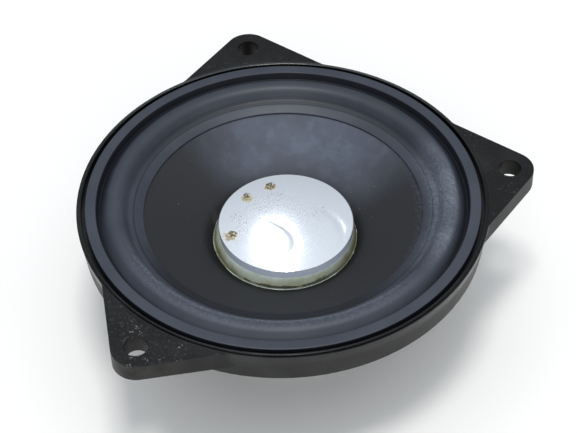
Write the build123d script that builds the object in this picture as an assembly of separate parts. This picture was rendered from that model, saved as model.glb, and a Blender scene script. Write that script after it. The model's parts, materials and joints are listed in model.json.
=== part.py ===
"""Three-eared 100 mm class car-door midrange loudspeaker, as separate bench pieces.

Frame: millimetres, +Z towards the listener, origin at the centre of the rear face of the yoke plate.
"""
from build123d import *
from math import cos, hypot, pi, radians, sin, tan
import os

# ---- driving dimensions (mm) --------------------------------------------------------------------
EAR_TOP_Z = 41.5            # height of the front face of the mounting ears above the rear face
BODY_R = 52.0               # radius of the basket rim at the front
BODY_FOOT_R = 51.0          # radius of the rim at its rear edge, after draft
RIM_DEPTH = 8.6             # depth of the rim behind the ear plane
EAR_ANGLES = (45, 135, 270)
EAR_HOLE_CIRCLE_R = 58.8
EAR_TIP_R = 6.1
EAR_T = 5.0
EAR_HOLE_R = 2.9
EAR_ROOT_FILLET = 3.0

LIP_R = 51.5                # thin moulded lip around the surround
LIP_T = 0.7
LIP_H = 0.45
LIP_ROUND = 0.22
LANDING_DEPTH = 1.5         # recess in the front flange that takes the surround's bead
LANDING_INNER_R = 46.0
FLANGE_T = 2.1

BEAD_EDGE_R = 49.85         # rubber surround; a narrow groove is left between its bead and the lip
BEAD_EDGE_H = 0.3
BEAD_TOP_R = 49.6
BEAD_INNER_R = 47.1
BEAD_TOP_H = 0.6
GROOVE_R = 46.6             # foot of the bead's inner wall
GROOVE_H = -1.1
ROLL_OUTER_R = 45.4
ROLL_OUTER_H = -1.3
ROLL_CREST_R = 42.6
ROLL_CREST_H = 0.75
ROLL_INNER_R = 39.6
ROLL_INNER_H = -1.9
LAP_OUTER_R = 37.7
LAP_OUTER_H = -2.35
LAP_INNER_R = 35.4
LAP_STEP = 0.3              # how far past the cone's edge the lap's underside drops
ROLL_T = 0.6
ROLL_FOOT_SHIFT = 0.4       # the roll's underside meets its feet this much nearer the crest
LAP_T = 0.45
HANG_GAP = 0.15             # gap between the roll's outer foot and the landing's inner edge
GLUE_LINE = 0.2             # glue gap between the surround's lap and the cone

CONE_EDGE_R = 37.3
CONE_NECK_R = 12.8
CONE_T = 0.6
CONE_REF_R = 35.4           # the cone's front surface passes through this radius at this height
CONE_REF_H = -4.1
CONE_SLOPE = 0.59           # fall of the cone's front surface per unit of radius, going inwards

CAP_R = 17.3                # dust cap
CAP_RIM_H = -8.65
CAP_DOME_RISE = 0.45
CAP_HALF_RISE = 0.74        # share of the rise that is left half way out
CAP_RIM_ROUND = 0.5
CAP_T = 0.3
CAP_AXIS = (0.48, 0.36)     # the cap is glued on slightly off the driver's axis
CAP_GLUE_R = 18.9
CAP_GLUE_TOP_H = -11.7
CAP_GLUE_BULGE = 0.35
TRIM = 2.0                  # how far a shape runs past the surface that it is trimmed to

COIL_R = 12.55              # inner radius of the voice coil former
FORMER_T = 0.2
FORMER_TOP_H = -16.2
COLLAR_T = 0.15
COLLAR_TOP_H = -18.6
COLLAR_GAP = 0.3            # bare former between the winding and the collar
NECK_GLUE_REACH = 1.6
NECK_GLUE_H = 1.2
WINDING_T = 0.5
WINDING_LENGTH = 7.5
LEADOUT_T = 0.15
LEADOUT_W = 1.0
LEADOUT_GAP = 0.02          # hairline between the lead and the back of the cone
LEADOUT_END = 1.0           # the wire stops this far short of the glue dot's centre
LEAD_ANGLE = 14             # the two coil leads leave either side of the terminal side, in degrees

SPIDER_H = -20.6            # rear face of the spider, on its shelf
SPIDER_T = 0.4
SPIDER_INNER_R = 13.4
SPIDER_OUTER_R = 31.0
SPIDER_ROLL_START_R = 15.2
SPIDER_ROLL_END_R = 28.4
SPIDER_ROLLS = 6            # half waves between start and end
SPIDER_ROLL_H = 0.9
SPIDER_DIP = 0.45           # depth of a backward half wave, as a share of a forward one
SPIDER_STEP = 0.8           # radial run of the step down to the outer landing
SPIDER_GLUE_W = 1.1
SPIDER_GLUE_H = 0.9
SPIDER_GLUE_GAP = 0.3
BOND_LAP = 1.0              # how far the outer glue bead covers the spider
BOND_H = 0.5
BOND_EDGE_H = 0.1
BOND_EDGE_R = 0.2

YOKE_R = 25.0               # motor
YOKE_T = 4.0
POLE_R = 12.2
MAGNET_R = 28.0
MAGNET_BORE_R = 16.0
MAGNET_T = 7.2
MAGNET_GLUE_T = 0.15
TOP_PLATE_R = 27.0
TOP_PLATE_BORE_R = 13.7
TOP_PLATE_T = 4.0
METAL_CHAMFER = 0.6

WALL_T = 1.9                # basket shell behind the rim
SHELL_TOP_R = 45.6
SHELL_TOP_H = -9.0
SHELF_OUTER_R = 31.8
SHELF_INNER_R = 27.0
FLOOR_OUTER_R = 29.5
FLOOR_INNER_R = 21.0
FLOOR_T = 2.0
WINDOWS = 12
WINDOW_W = 12.0
WINDOW_TOP_H = -9.8
WINDOW_FOOT_H = -18.8
WINDOW_ROUND = 2.0
RIM_RIB_T = 1.4
RIM_RIBS = 24
RIM_RIB_START = 7.5         # angle of the first rib, in degrees
EDGE_TOLERANCE = 0.6        # how far an ear's root edge may lie from the rim's radius and mid height

SCREWS = 4
SCREW_CIRCLE_R = 24.3
SCREW_R = 1.25
SCREW_HEAD_R = 2.2
SCREW_HEAD_H = 1.1
SCREW_BITE = 3.0
SCREW_CLEARANCE = 0.05
SOCKET_R = 0.8
SOCKET_DEPTH = 0.7

BOARD_W = 24.0              # terminal board, on the +Y side
BOARD_INNER_Y = 40.8
BOARD_OUTER_Y = 47.8
BOARD_T = 1.5
BOARD_H = -17.5             # height of its rear face
BRACKET_T = 2.2
BRACKET_INNER_Y = 35.6
TAG_X = 7.2
TAG_T = 0.8
TAG_INNER_Y = 41.6
TAG_OUTER_Y = 52.0
TAG_WIDTHS = {"positive": 6.3, "negative": 4.8}
TAG_SIDES = {"positive": 1, "negative": -1}
TAG_HOLE_R = 0.8
TAG_HOLE_INSET = 2.6        # from the tag's tip
BOARD_CORNER_R = 1.0
RIVET_R = 1.0
RIVET_HEAD_R = 1.7
RIVET_HEAD_H = 0.6
RIVET_Y = 46.0
SOLDER_R = 1.3
SOLDER_Y = 42.9

TINSEL_R = 0.5              # flexible braided leads from the tags to the cone
TINSEL_END_R = 22.4
BEND_SHARE = 0.45           # share of the shorter run that each bend of a lead takes up
DOT_R = 1.5
DOT_GAP = 0.25
TINSEL_ROUTE = (            # x on the positive side, y, height
    (7.2, 43.5, -14.4),
    (7.3, 39.5, -13.7),
    (7.9, 35.6, -14.8),
    (7.6, 31.8, -16.2),
    (6.9, 28.2, -15.9),
    (6.2, 25.2, -14.6),
)

# ---- levels worked out from the stack -----------------------------------------------------------
MAGNET_Z = YOKE_T + MAGNET_GLUE_T
GLUE_BORE_R = MAGNET_BORE_R + METAL_CHAMFER
PLATE_Z = MAGNET_Z + MAGNET_T + MAGNET_GLUE_T
FLOOR_Z = PLATE_Z + TOP_PLATE_T
FORMER_OUTER_R = COIL_R + FORMER_T
COLLAR_OUTER_R = FORMER_OUTER_R + COLLAR_T
WINDING_MID_Z = PLATE_Z + TOP_PLATE_T / 2
WINDING_Z = (WINDING_MID_Z - WINDING_LENGTH / 2, WINDING_MID_Z + WINDING_LENGTH / 2)
SHELF_Z = EAR_TOP_Z + SPIDER_H
BOARD_Z = EAR_TOP_Z + BOARD_H
TAG_Z = BOARD_Z + BOARD_T


# ---- helpers ------------------------------------------------------------------------------------
def at(radius, height):
    """A profile point, with its height counted from the ear plane."""
    return (radius, EAR_TOP_Z + height)


def turned(edges):
    """The solid swept about Z by a closed outline of (radius, z) edges."""
    return revolve(Plane.XZ * make_face(edges), Axis.Z)


def turned_polygon(*points):
    return turned(Polyline(*points, close=True).edges())


def tube(inner, outer, z_low, z_high):
    return turned_polygon((inner, z_low), (outer, z_low), (outer, z_high), (inner, z_high))


def around(count, start, radius):
    """Locations evenly spaced on a circle, each with its local X pointing outwards."""
    return [Rot(Z=start + 360 * n / count) * Pos(X=radius) for n in range(count)]


def cone_front(radius):
    """Height of the cone's front surface above the ear plane."""
    return CONE_REF_H - (CONE_REF_R - radius) * CONE_SLOPE


def cone_back(radius):
    return cone_front(radius) - CONE_T * hypot(1, CONE_SLOPE)


def in_front_of_cone():
    """Everything on the listener's side of the cone's front surface, for trimming."""
    apex = at(0, cone_front(0))
    return turned_polygon((0, EAR_TOP_Z), apex, at(CONE_REF_R, CONE_REF_H), (CONE_REF_R, EAR_TOP_Z))


# ---- basket -------------------------------------------------------------------------------------
def ear(angle):
    """One mounting ear: the rounded corner of a square plate that runs into the rim."""
    side = EAR_HOLE_CIRCLE_R / 2**0.5 + EAR_TIP_R
    plate = Rectangle(side, side, align=(Align.MIN, Align.MIN))
    plate = fillet(plate.vertices().sort_by(lambda v: v.X + v.Y)[-1], EAR_TIP_R)
    return Pos(Z=EAR_TOP_Z - EAR_T) * extrude(Rot(Z=angle - 45) * plate, EAR_T)


def rim_and_shell():
    """Front flange, drafted rim, conical shell, spider shelf and floor as one turned section."""
    channel_r = BODY_FOOT_R - WALL_T
    flange_back = -LANDING_DEPTH - FLANGE_T
    shelf_back = SPIDER_H - WALL_T
    section = make_face(Polyline(
        at(BODY_R, 0), at(LIP_R, 0), at(LIP_R, LIP_H), at(LIP_R - LIP_T, LIP_H),
        at(LIP_R - LIP_T, -LANDING_DEPTH), at(LANDING_INNER_R, -LANDING_DEPTH),
        at(SHELL_TOP_R, SHELL_TOP_H), at(SHELF_OUTER_R, SPIDER_H), at(SHELF_INNER_R, SPIDER_H),
        (SHELF_INNER_R, FLOOR_Z + FLOOR_T), (FLOOR_INNER_R, FLOOR_Z + FLOOR_T), (FLOOR_INNER_R, FLOOR_Z),
        (FLOOR_OUTER_R, FLOOR_Z), at(FLOOR_OUTER_R, shelf_back), at(SHELF_OUTER_R + 1, shelf_back),
        at(SHELL_TOP_R + WALL_T, SHELL_TOP_H - 1), at(SHELL_TOP_R + WALL_T, flange_back),
        at(channel_r, flange_back), at(channel_r, -RIM_DEPTH), at(BODY_FOOT_R, -RIM_DEPTH),
        close=True,
    ).edges())
    lip_edges = section.vertices().sort_by(Axis.Y)[-2:]
    return revolve(Plane.XZ * fillet(lip_edges, LIP_ROUND), Axis.Z)


def rim_ribs():
    """Small stiffening ribs across the channel behind the flange."""
    length = BODY_FOOT_R - SHELL_TOP_R - WALL_T / 2
    height = RIM_DEPTH - LANDING_DEPTH - FLANGE_T - 1
    rib = Pos(Z=EAR_TOP_Z - LANDING_DEPTH - FLANGE_T - height / 2) * Box(length, RIM_RIB_T, height)
    return [place * rib for place in around(RIM_RIBS, RIM_RIB_START, SHELL_TOP_R + length / 2 + WALL_T / 2)]


def windows():
    height = WINDOW_TOP_H - WINDOW_FOOT_H
    outline = RectangleRounded(WINDOW_W, height, WINDOW_ROUND)
    cutter = Pos(Z=EAR_TOP_Z + WINDOW_FOOT_H + height / 2) * extrude(Plane.YZ * outline, BODY_R)
    return [Rot(Z=360 * (n + 0.5) / WINDOWS) * cutter for n in range(WINDOWS)]


def terminal_bracket():
    depth = BOARD_OUTER_Y - BRACKET_INNER_Y
    slab = Box(BOARD_W, depth, BRACKET_T, align=(Align.CENTER, Align.MIN, Align.MAX))
    rib = Box(WALL_T, depth - 1, BRACKET_T + 1, align=(Align.CENTER, Align.MIN, Align.MAX))
    bracket = Pos(Y=BRACKET_INNER_Y, Z=BOARD_Z) * slab
    for x in (WALL_T / 2 - BOARD_W / 2, 0, BOARD_W / 2 - WALL_T / 2):
        bracket += Pos(X=x, Y=BRACKET_INNER_Y, Z=BOARD_Z - 1) * rib
    return bracket - tube(0, SHELF_OUTER_R + 1.5, BOARD_Z - 3 * BRACKET_T, BOARD_Z + BRACKET_T)


def basket():
    body = rim_and_shell() - windows()
    hollow = Pos(Z=EAR_TOP_Z - EAR_T) * extrude(Circle(LIP_R - LIP_T), EAR_T)
    body += [ear(angle) - hollow for angle in EAR_ANGLES]
    roots = [
        edge
        for edge in body.edges().filter_by(Axis.Z, reverse=True)
        if abs(hypot(edge.center().X, edge.center().Y) - BODY_R) < EDGE_TOLERANCE
        and abs(edge.length - EAR_T) < EDGE_TOLERANCE
        and abs(edge.center().Z - EAR_TOP_Z + EAR_T / 2) < EDGE_TOLERANCE
    ]
    body = fillet(roots, EAR_ROOT_FILLET)
    body += rim_ribs() + [terminal_bracket()]
    ear_hole = Pos(Z=EAR_TOP_Z - EAR_T / 2) * Cylinder(EAR_HOLE_R, 2 * EAR_T)
    body -= [Rot(Z=angle) * Pos(X=EAR_HOLE_CIRCLE_R) * ear_hole for angle in EAR_ANGLES]
    screw_hole = Pos(Z=FLOOR_Z + FLOOR_T / 2) * Cylinder(SCREW_R + SCREW_CLEARANCE, 2 * FLOOR_T)
    body -= [place * screw_hole for place in around(SCREWS, 45, SCREW_CIRCLE_R)]
    body -= [Pos(X=side * TAG_X, Y=RIVET_Y, Z=BOARD_Z) * Cylinder(RIVET_R, 4 * BRACKET_T) for side in (-1, 1)]
    return body


# ---- moving parts -------------------------------------------------------------------------------
def surround():
    """Rubber ring: bead in the flange recess, half roll, and a lap that sits on the cone's edge."""
    lap_inner_h = cone_front(LAP_INNER_R) + GLUE_LINE + LAP_T
    hang_r = LANDING_INNER_R - HANG_GAP
    foot_out = ROLL_OUTER_R - ROLL_FOOT_SHIFT
    foot_in = ROLL_INNER_R + ROLL_FOOT_SHIFT
    front = [
        Polyline(at(BEAD_EDGE_R, -LANDING_DEPTH), at(BEAD_EDGE_R, BEAD_EDGE_H), at(BEAD_TOP_R, BEAD_TOP_H),
                 at(BEAD_INNER_R, BEAD_TOP_H), at(GROOVE_R, GROOVE_H), at(ROLL_OUTER_R, ROLL_OUTER_H)),
        ThreePointArc(at(ROLL_OUTER_R, ROLL_OUTER_H), at(ROLL_CREST_R, ROLL_CREST_H),
                      at(ROLL_INNER_R, ROLL_INNER_H)),
        Polyline(at(ROLL_INNER_R, ROLL_INNER_H), at(LAP_OUTER_R, LAP_OUTER_H), at(LAP_INNER_R, lap_inner_h),
                 at(LAP_INNER_R, lap_inner_h - LAP_T), at(LAP_OUTER_R, cone_front(LAP_OUTER_R) + GLUE_LINE),
                 at(LAP_OUTER_R + LAP_STEP, LAP_OUTER_H - ROLL_T), at(foot_in, ROLL_INNER_H - ROLL_T)),
    ]
    back = [
        ThreePointArc(at(foot_in, ROLL_INNER_H - ROLL_T), at(ROLL_CREST_R, ROLL_CREST_H - ROLL_T),
                      at(foot_out, ROLL_OUTER_H - ROLL_T)),
        Polyline(at(foot_out, ROLL_OUTER_H - ROLL_T), at(hang_r, ROLL_OUTER_H - ROLL_T),
                 at(hang_r, -LANDING_DEPTH), at(BEAD_EDGE_R, -LANDING_DEPTH)),
    ]
    return turned([edge for curve in front + back for edge in curve.edges()])


def cone():
    return turned_polygon(
        at(CONE_EDGE_R, cone_front(CONE_EDGE_R)), at(CONE_NECK_R, cone_front(CONE_NECK_R)),
        at(CONE_NECK_R, cone_back(CONE_NECK_R)), at(CONE_EDGE_R, cone_back(CONE_EDGE_R)),
    )


def cap_shell(radius, rim_height, rim_round, floor_height):
    """Solid plug with the outline of the cap: shallow dome, rounded rim and straight skirt."""
    shoulder = radius - rim_round
    dome = ThreePointArc(at(0, rim_height + CAP_DOME_RISE),
                         at(shoulder / 2, rim_height + CAP_HALF_RISE * CAP_DOME_RISE), at(shoulder, rim_height))
    turn = rim_round * sin(radians(45))
    rim = ThreePointArc(at(shoulder, rim_height),
                        at(shoulder + turn, rim_height - rim_round + turn), at(radius, rim_height - rim_round))
    rest = Polyline(at(radius, rim_height - rim_round), at(radius, floor_height), at(0, floor_height),
                    at(0, rim_height + CAP_DOME_RISE))
    return turned([edge for curve in (dome, rim, rest) for edge in curve.edges()])


def dust_cap():
    floor_height = cone_front(CAP_R) - TRIM
    outer = cap_shell(CAP_R, CAP_RIM_H, CAP_RIM_ROUND, floor_height)
    inner = cap_shell(CAP_R - CAP_T, CAP_RIM_H - CAP_T, CAP_RIM_ROUND - CAP_T / 2, floor_height - TRIM)
    return (Pos(*CAP_AXIS) * (outer - inner)) & in_front_of_cone()


def cap_glue_bead():
    """Fillet of glue in the corner between the cap's skirt and the cone."""
    foot_h = cone_front(CAP_GLUE_R)
    middle = ((CAP_R + CAP_GLUE_R) / 2 + CAP_GLUE_BULGE, (CAP_GLUE_TOP_H + foot_h) / 2 + CAP_GLUE_BULGE)
    inner = CAP_R - CAP_T / 2
    curve = ThreePointArc(at(CAP_R, CAP_GLUE_TOP_H), at(*middle), at(CAP_GLUE_R, foot_h))
    rest = Polyline(at(CAP_GLUE_R, foot_h), at(CAP_GLUE_R, foot_h - TRIM), at(inner, foot_h - TRIM),
                    at(inner, CAP_GLUE_TOP_H), at(CAP_R, CAP_GLUE_TOP_H))
    ring = turned([edge for part in (curve, rest) for edge in part.edges()])
    glue = Pos(X=CAP_AXIS[0] / 2, Y=CAP_AXIS[1] / 2) * ring
    plug = Pos(*CAP_AXIS) * cap_shell(CAP_R, CAP_RIM_H, CAP_RIM_ROUND, foot_h - 2 * TRIM)
    return (glue & in_front_of_cone()) - plug


def voice_coil_former():
    return tube(COIL_R, FORMER_OUTER_R, WINDING_Z[0], EAR_TOP_Z + FORMER_TOP_H)


def voice_coil_winding():
    return tube(FORMER_OUTER_R, FORMER_OUTER_R + WINDING_T, *WINDING_Z)


def former_collar():
    return tube(FORMER_OUTER_R, COLLAR_OUTER_R, WINDING_Z[1] + COLLAR_GAP, EAR_TOP_Z + COLLAR_TOP_H)


def neck_glue_bead():
    neck_h = cone_front(CONE_NECK_R)
    reach_r = CONE_NECK_R + NECK_GLUE_REACH
    return turned_polygon(
        at(FORMER_OUTER_R, neck_h + NECK_GLUE_H), at(FORMER_OUTER_R, neck_h), at(CONE_NECK_R, neck_h),
        at(reach_r, cone_front(reach_r)),
    )


def spider_glue_bead():
    """Glue fillet on the former just in front of the spider's inner edge."""
    inner = COLLAR_OUTER_R + LEADOUT_T
    foot = SPIDER_H + SPIDER_ROLL_H / 2 + SPIDER_T + SPIDER_GLUE_GAP
    return turned_polygon(at(inner, foot), at(inner + SPIDER_GLUE_W, foot), at(inner, foot + SPIDER_GLUE_H))


def coil_leadouts():
    """Two flat wires that climb the former from the winding and lie along the back of the cone."""
    inner = COLLAR_OUTER_R
    outer = inner + LEADOUT_T
    far = TINSEL_END_R - LEADOUT_END
    strip = Polyline(
        (inner, WINDING_Z[1]), (outer, WINDING_Z[1]), at(outer, cone_back(outer) - LEADOUT_T),
        at(far, cone_back(far) - LEADOUT_T), at(far, cone_back(far) - LEADOUT_GAP),
        at(inner, cone_back(inner) - LEADOUT_GAP), close=True,
    )
    wire = extrude(Plane.XZ * make_face(strip.edges()), LEADOUT_W / 2, both=True)
    return Compound(children=[Rot(Z=90 + side * LEAD_ANGLE) * wire for side in (-1, 1)])


def dot_centre(side):
    turn = radians(90 - side * LEAD_ANGLE)
    height = EAR_TOP_Z + cone_back(TINSEL_END_R)
    return Vector(TINSEL_END_R * cos(turn), TINSEL_END_R * sin(turn), height)


def lead_glue_dots():
    """Drops of glue on the back of the cone where the flexible leads meet the coil's wires."""
    clear = LEADOUT_T + LEADOUT_GAP
    behind = turned_polygon(
        at(CONE_NECK_R, cone_back(CONE_NECK_R) - clear), at(CONE_NECK_R, SPIDER_H),
        at(CONE_EDGE_R, SPIDER_H), at(CONE_EDGE_R, cone_back(CONE_EDGE_R) - clear),
    )
    return Compound(children=[(Pos(*dot_centre(side)) * Sphere(DOT_R)) & behind for side in (-1, 1)])


# ---- suspension and leads held by the basket ------------------------------------------------------
def spider():
    """Corrugated fabric ring: flat inner collar, concentric half waves, flat outer landing."""
    pitch = (SPIDER_ROLL_END_R - SPIDER_ROLL_START_R) / SPIDER_ROLLS
    base = SPIDER_H + SPIDER_ROLL_H / 2

    def face_edges(lift):
        level = base + lift
        edges = [Line(at(SPIDER_INNER_R, level), at(SPIDER_ROLL_START_R, level))]
        for n in range(SPIDER_ROLLS):
            start = SPIDER_ROLL_START_R + n * pitch
            swing = SPIDER_ROLL_H * (1 if n % 2 == 0 else -SPIDER_DIP)
            middle = at(start + pitch / 2, level + swing)
            edges.append(ThreePointArc(at(start, level), middle, at(start + pitch, level)))
        edges.append(Polyline(at(SPIDER_ROLL_END_R, level), at(SPIDER_ROLL_END_R + SPIDER_STEP, SPIDER_H + lift),
                              at(SPIDER_OUTER_R, SPIDER_H + lift)))
        return edges

    ends = [Line(at(r, h), at(r, h + SPIDER_T)) for r, h in ((SPIDER_INNER_R, base), (SPIDER_OUTER_R, SPIDER_H))]
    return turned([edge for curve in face_edges(0) + face_edges(SPIDER_T) + ends for edge in curve.edges()])


def spider_bond_ring():
    """Bead of glue over the spider's outer edge."""
    top = SPIDER_H + SPIDER_T
    return turned_polygon(
        at(SPIDER_OUTER_R - BOND_LAP, top), at(SPIDER_OUTER_R, top), at(SPIDER_OUTER_R, SPIDER_H),
        at(SHELF_OUTER_R, SPIDER_H), at(SHELF_OUTER_R, top + BOND_EDGE_H),
        at(SPIDER_OUTER_R - BOND_EDGE_R, top + BOND_H),
    )


def tinsel_lead(side):
    """A flexible lead from its tag, in through a basket window, to the back of the cone."""
    route = [Vector(side * x, y, EAR_TOP_Z + height) for x, y, height in TINSEL_ROUTE]
    dot = dot_centre(side)
    last = dot + (route[-1] - dot).normalized() * (DOT_R + DOT_GAP)
    points = route + [last]
    radii = []
    for before, here, after in zip(points, points[1:], points[2:]):
        turn = radians((here - before).get_angle(after - here))
        shorter = min((here - before).length, (after - here).length)
        radii.append(BEND_SHARE * shorter / tan(turn / 2))
    path = FilletPolyline(*points, radius=radii)
    section = Plane(origin=points[0], z_dir=points[1] - points[0]) * Circle(TINSEL_R)
    lead = sweep(section, path=path)
    fullness = lead.volume / (pi * TINSEL_R**2 * path.length)
    print("tinsel lead", side, "length", round(path.length, 2),
          "bend radii", [round(bend, 1) for bend in radii],
          "volume over section times length", round(fullness, 4))
    return lead


# ---- motor --------------------------------------------------------------------------------------
def t_yoke():
    """Back plate and centre pole in one piece of steel."""
    c = METAL_CHAMFER
    return turned_polygon(
        (0, 0), (YOKE_R - c, 0), (YOKE_R, c), (YOKE_R, YOKE_T - c / 2), (YOKE_R - c / 2, YOKE_T), (POLE_R + c, YOKE_T),
        (POLE_R, YOKE_T + c), (POLE_R, FLOOR_Z - c), (POLE_R - c, FLOOR_Z), (0, FLOOR_Z),
    )


def chamfered_ring(inner, outer, z_low, z_high, size):
    return turned_polygon(
        (inner, z_low), (outer - size, z_low), (outer, z_low + size), (outer, z_high - size),
        (outer - size, z_high), (inner, z_high),
    )


def magnet():
    return chamfered_ring(MAGNET_BORE_R, MAGNET_R, MAGNET_Z, MAGNET_Z + MAGNET_T, METAL_CHAMFER)


def top_plate():
    plate = chamfered_ring(TOP_PLATE_BORE_R, TOP_PLATE_R, PLATE_Z, FLOOR_Z, METAL_CHAMFER / 2)
    hole = Pos(Z=FLOOR_Z - SCREW_BITE / 2) * Cylinder(SCREW_R + SCREW_CLEARANCE, SCREW_BITE + 2 * SCREW_CLEARANCE)
    return plate - [place * hole for place in around(SCREWS, 45, SCREW_CIRCLE_R)]


def plate_screws():
    """Low round-head screws that hold the basket's floor to the top plate."""
    shank = Cylinder(SCREW_R, SCREW_BITE + FLOOR_T, align=(Align.CENTER, Align.CENTER, Align.MAX))
    head = Cylinder(SCREW_HEAD_R, SCREW_HEAD_H, align=(Align.CENTER, Align.CENTER, Align.MIN))
    head = fillet(head.edges().sort_by(Axis.Z)[-1], SCREW_HEAD_H / 2)
    socket = Pos(Z=SCREW_HEAD_H) * extrude(RegularPolygon(SOCKET_R, 6), -SOCKET_DEPTH)
    screw = Pos(Z=FLOOR_Z + FLOOR_T) * (shank + head - socket)
    return Compound(children=[place * screw for place in around(SCREWS, 45, SCREW_CIRCLE_R)])


# ---- terminals ----------------------------------------------------------------------------------
def terminal_board():
    board = Box(BOARD_W, BOARD_OUTER_Y - BOARD_INNER_Y, BOARD_T, align=(Align.CENTER, Align.MIN, Align.MIN))
    board = Pos(Y=BOARD_INNER_Y, Z=BOARD_Z) * fillet(board.edges().filter_by(Axis.Z), BOARD_CORNER_R)
    return board - [Pos(X=side * TAG_X, Y=RIVET_Y, Z=BOARD_Z) * Cylinder(RIVET_R, 4 * BOARD_T) for side in (-1, 1)]


def terminal_tag(name):
    """Blade terminal: flat tongue with a chamfered nose, a detent hole and a rivet hole."""
    width = TAG_WIDTHS[name]
    tag = Box(width, TAG_OUTER_Y - TAG_INNER_Y, TAG_T, align=(Align.CENTER, Align.MIN, Align.MIN))
    nose = tag.edges().filter_by(Axis.Z).sort_by(Axis.Y)[-2:]
    tag = Pos(X=TAG_SIDES[name] * TAG_X, Y=TAG_INNER_Y, Z=TAG_Z) * chamfer(nose, width / 6)
    for y, radius in ((RIVET_Y, RIVET_R), (TAG_OUTER_Y - TAG_HOLE_INSET, TAG_HOLE_R)):
        tag -= Pos(X=TAG_SIDES[name] * TAG_X, Y=y, Z=TAG_Z) * Cylinder(radius, 4 * TAG_T)
    return tag


def terminal_rivets():
    low, high = BOARD_Z - BRACKET_T, TAG_Z + TAG_T
    shank = Cylinder(RIVET_R, high - low, align=(Align.CENTER, Align.CENTER, Align.MIN))
    front = Pos(Z=high - low) * Cylinder(RIVET_HEAD_R, RIVET_HEAD_H, align=(Align.CENTER, Align.CENTER, Align.MIN))
    back = Cylinder(RIVET_HEAD_R, RIVET_HEAD_H, align=(Align.CENTER, Align.CENTER, Align.MAX))
    front = fillet(front.edges().sort_by(Axis.Z)[-1], RIVET_HEAD_H / 2)
    rivet = shank + front + back
    return Compound(children=[Pos(X=side * TAG_X, Y=RIVET_Y, Z=low) * rivet for side in (-1, 1)])


def terminal_solder():
    """Solder domes that tie each flexible lead to the inner end of its tag."""
    leads = [tinsel_lead(side) for side in (-1, 1)]
    face_z = TAG_Z + TAG_T
    above = Pos(Z=face_z + SOLDER_R) * Box(3 * SOLDER_R, 3 * SOLDER_R, 2 * SOLDER_R)
    dome = (Pos(Z=face_z) * Sphere(SOLDER_R)) & above
    domes = [Pos(X=side * TAG_X, Y=SOLDER_Y) * dome - lead for side, lead in zip((-1, 1), leads)]
    return Compound(children=domes)


NODES = {
    "basket": basket,
    "surround": surround,
    "cone": cone,
    "dust_cap": dust_cap,
    "cap_glue_bead": cap_glue_bead,
    "voice_coil_former": voice_coil_former,
    "voice_coil_winding": voice_coil_winding,
    "former_collar": former_collar,
    "neck_glue_bead": neck_glue_bead,
    "spider_glue_bead": spider_glue_bead,
    "coil_leadouts": coil_leadouts,
    "lead_glue_dots": lead_glue_dots,
    "spider": spider,
    "spider_bond_ring": spider_bond_ring,
    "tinsel_lead_positive": lambda: tinsel_lead(1),
    "tinsel_lead_negative": lambda: tinsel_lead(-1),
    "t_yoke": t_yoke,
    "magnet": magnet,
    "magnet_glue_rear": lambda: tube(GLUE_BORE_R, YOKE_R - METAL_CHAMFER, YOKE_T, MAGNET_Z),
    "magnet_glue_front": lambda: tube(GLUE_BORE_R, TOP_PLATE_R - METAL_CHAMFER, MAGNET_Z + MAGNET_T, PLATE_Z),
    "top_plate": top_plate,
    "plate_screws": plate_screws,
    "terminal_board": terminal_board,
    "terminal_tag_positive": lambda: terminal_tag("positive"),
    "terminal_tag_negative": lambda: terminal_tag("negative"),
    "terminal_rivets": terminal_rivets,
    "terminal_solder": terminal_solder,
}

os.makedirs("parts", exist_ok=True)
for name, make in NODES.items():
    export_step(make(), f"parts/{name}.step")
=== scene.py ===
"""Looks for the three-eared car door loudspeaker: rubber surround, pulp cone, silver cap and aged glue."""
import json
from functools import reduce
from math import atan2, cos, exp, hypot, pi, radians, sin, tan

import bmesh
import bpy
from mathutils import Matrix, Vector, noise


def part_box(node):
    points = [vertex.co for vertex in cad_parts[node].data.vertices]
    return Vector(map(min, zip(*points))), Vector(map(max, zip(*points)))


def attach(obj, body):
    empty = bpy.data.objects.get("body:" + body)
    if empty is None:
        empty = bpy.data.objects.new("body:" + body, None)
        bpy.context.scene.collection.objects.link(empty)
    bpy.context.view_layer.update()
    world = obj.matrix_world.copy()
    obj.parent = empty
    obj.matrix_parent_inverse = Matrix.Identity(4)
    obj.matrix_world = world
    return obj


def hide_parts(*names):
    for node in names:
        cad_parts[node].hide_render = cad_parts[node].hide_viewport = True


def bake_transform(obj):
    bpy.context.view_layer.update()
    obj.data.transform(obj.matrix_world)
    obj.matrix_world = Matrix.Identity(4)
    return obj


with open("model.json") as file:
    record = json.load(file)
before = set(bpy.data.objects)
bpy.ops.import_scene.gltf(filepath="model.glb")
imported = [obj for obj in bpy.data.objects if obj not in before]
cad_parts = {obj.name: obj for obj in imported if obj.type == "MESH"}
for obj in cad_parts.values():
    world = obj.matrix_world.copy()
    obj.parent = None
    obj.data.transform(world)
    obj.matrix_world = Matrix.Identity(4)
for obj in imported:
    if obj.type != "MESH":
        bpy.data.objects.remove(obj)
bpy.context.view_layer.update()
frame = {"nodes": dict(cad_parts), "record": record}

MM = 0.001
TURN_STEPS = 288            # segments of a full turn on the rubber
CAP_TURN_STEPS = 240        # and on the cap and its glue
FULL_TURN = 2 * pi
CAMERA_AZIMUTH = 36.61      # degrees about Z, counted from looking along +Y

mounts = {m["name"]: m for m in frame["record"]["mounts"]}
front_hole = mounts["ear_hole_front"]
EAR_PLANE = front_hole["pos_m"][2] + front_hole["dims"]["length_mm"] * MM / 2
# Directions about Z: where the listener is, and where the dust lies thickest on the surround.
LISTENER_SIDE = radians(CAMERA_AZIMUTH - 90)
HEAVY_SIDE = LISTENER_SIDE + radians(86)
# The listener's level axes: to the right, and straight ahead.
ACROSS = Vector((cos(LISTENER_SIDE + pi / 2), sin(LISTENER_SIDE + pi / 2), 0))
AWAY = -Vector((cos(LISTENER_SIDE), sin(LISTENER_SIDE), 0))


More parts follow.
